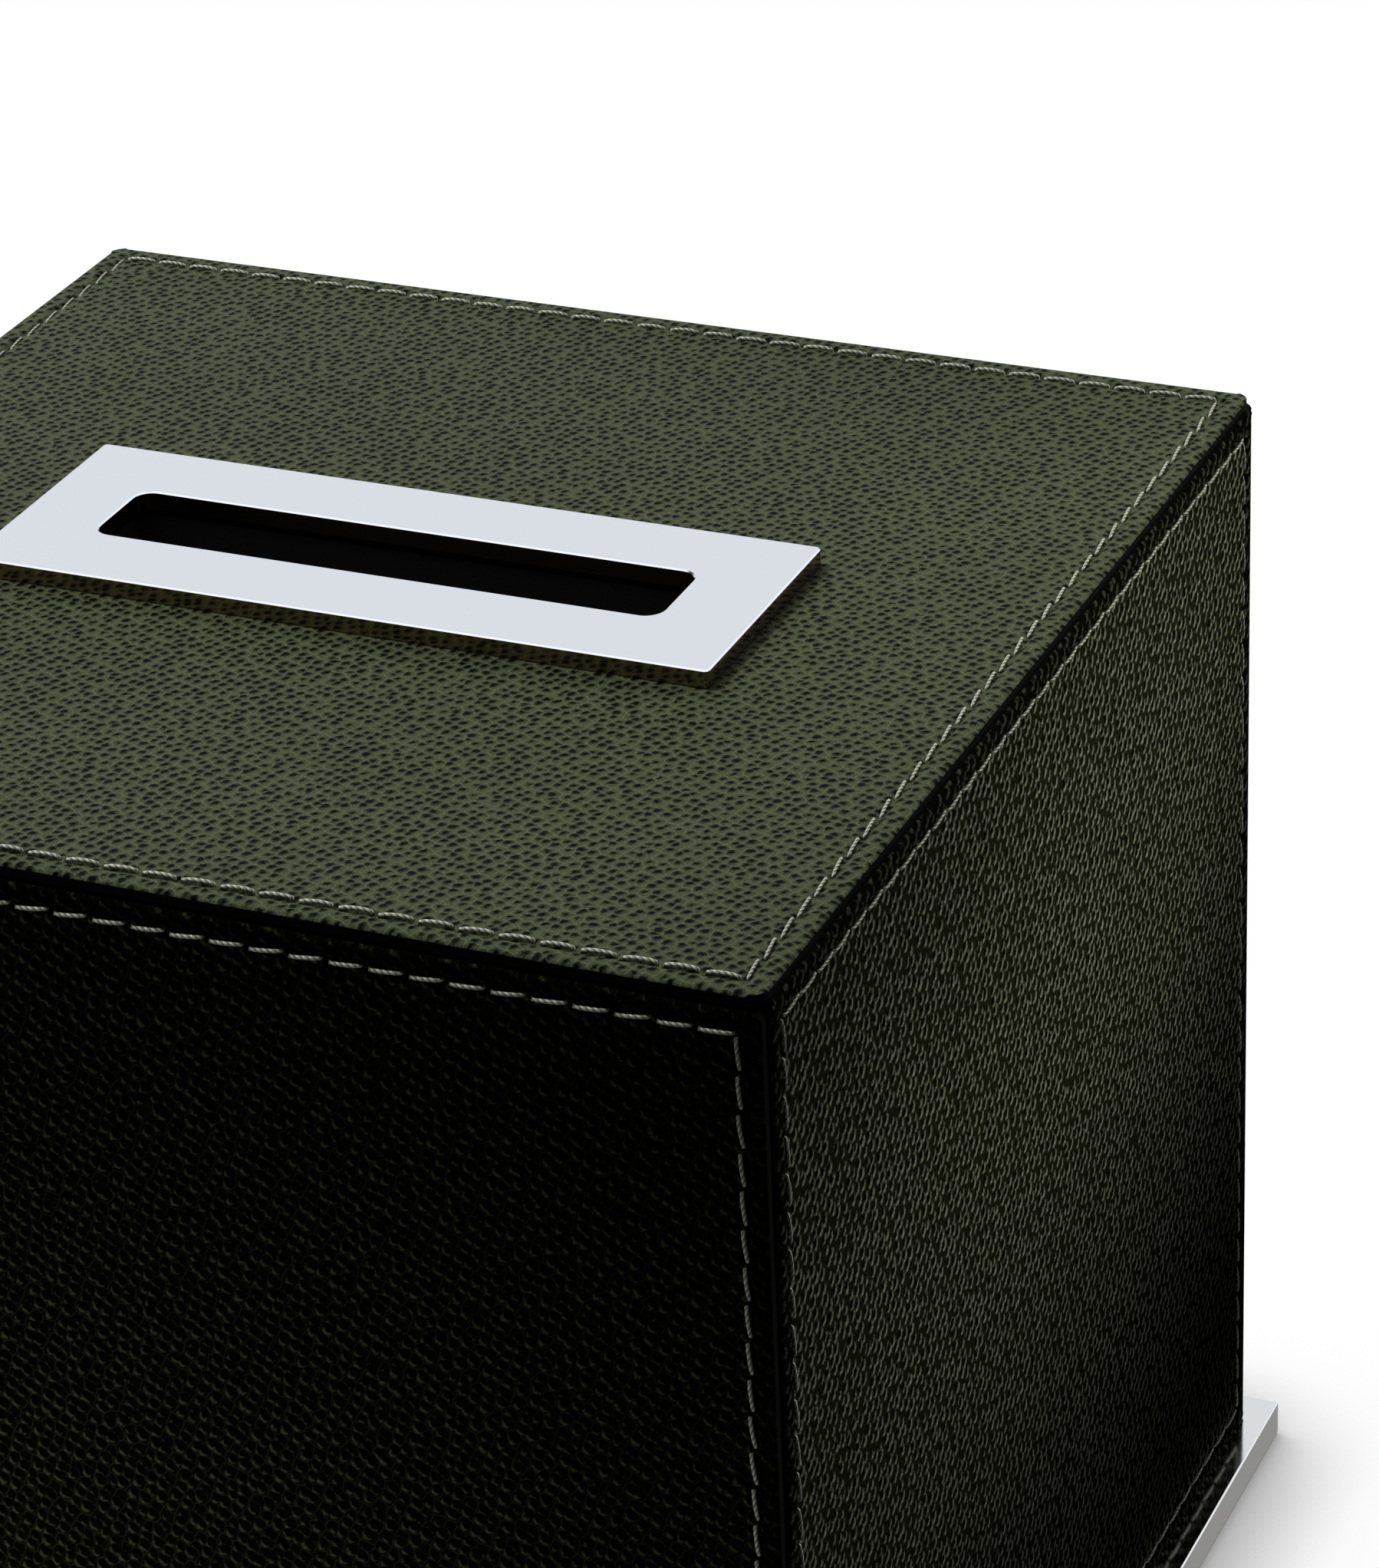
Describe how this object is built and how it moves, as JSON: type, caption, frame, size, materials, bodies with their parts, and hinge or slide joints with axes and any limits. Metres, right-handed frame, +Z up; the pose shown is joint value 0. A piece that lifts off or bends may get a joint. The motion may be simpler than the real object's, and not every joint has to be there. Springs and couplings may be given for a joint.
{
  "type": "tissue box with drawer",
  "caption": "Leather-covered cube tissue box on a metal base plate, with a slotted metal plate on top and a full-front pull-out drawer for the tissue pack.",
  "frame": {"origin": "centre of the case in plan, on the surface that the box stands on (underside of the base felt)", "axes": "+Z up; the drawer opens towards -Y; +X to the right when facing the drawer, along the slot"},
  "size_m": [0.146, 0.153, 0.1383],
  "materials": {
    "leather": "pebble-grain olive leather with dark painted edges and pale saddle stitching",
    "polished_metal": "mirror polished",
    "fastener_steel": "zinc plated",
    "magnet_nickel": "nickel plated",
    "case_board": "black-dyed fibreboard",
    "drawer_wood": "dark stained, satin",
    "runner_wood": "waxed hardwood",
    "suede_lining": "black suede-like lining",
    "base_felt": "black felt"
  },
  "bodies": {
    "case": {"leather_left": "leather", "leather_right": "leather", "leather_back": "leather", "leather_top": "leather", "base_plate": "polished_metal", "top_plate": "polished_metal", "base_screws": "fastener_steel", "plate_washers": "fastener_steel", "plate_nuts": "fastener_steel", "runner_screws": "fastener_steel", "stop_screws": "fastener_steel", "catch_magnets": "magnet_nickel", "board_bottom": "case_board", "board_left": "case_board", "board_right": "case_board", "board_back": "case_board", "board_top": "case_board", "runner_left": "runner_wood", "runner_right": "runner_wood", "stop_block": "runner_wood", "lining_floor": "suede_lining", "lining_left": "suede_lining", "lining_right": "suede_lining", "lining_back": "suede_lining", "lining_top": "suede_lining", "base_felt": "base_felt"},
    "drawer": {"drawer_front_board": "case_board", "drawer_front_leather": "leather", "drawer_front_lining": "suede_lining", "drawer_knob": "polished_metal", "knob_screw": "fastener_steel", "drawer_box_front": "drawer_wood", "drawer_side_left": "drawer_wood", "drawer_side_right": "drawer_wood", "drawer_back": "drawer_wood", "drawer_bottom": "drawer_wood", "tray_pad": "suede_lining", "front_screws": "fastener_steel", "strike_discs": "magnet_nickel"}
  },
  "joints": [
    {"name": "drawer_slide", "type": "slide", "parent": "case", "child": "drawer", "axis": [0, -1, 0], "range_m": [0, 0.095]}
  ]
}
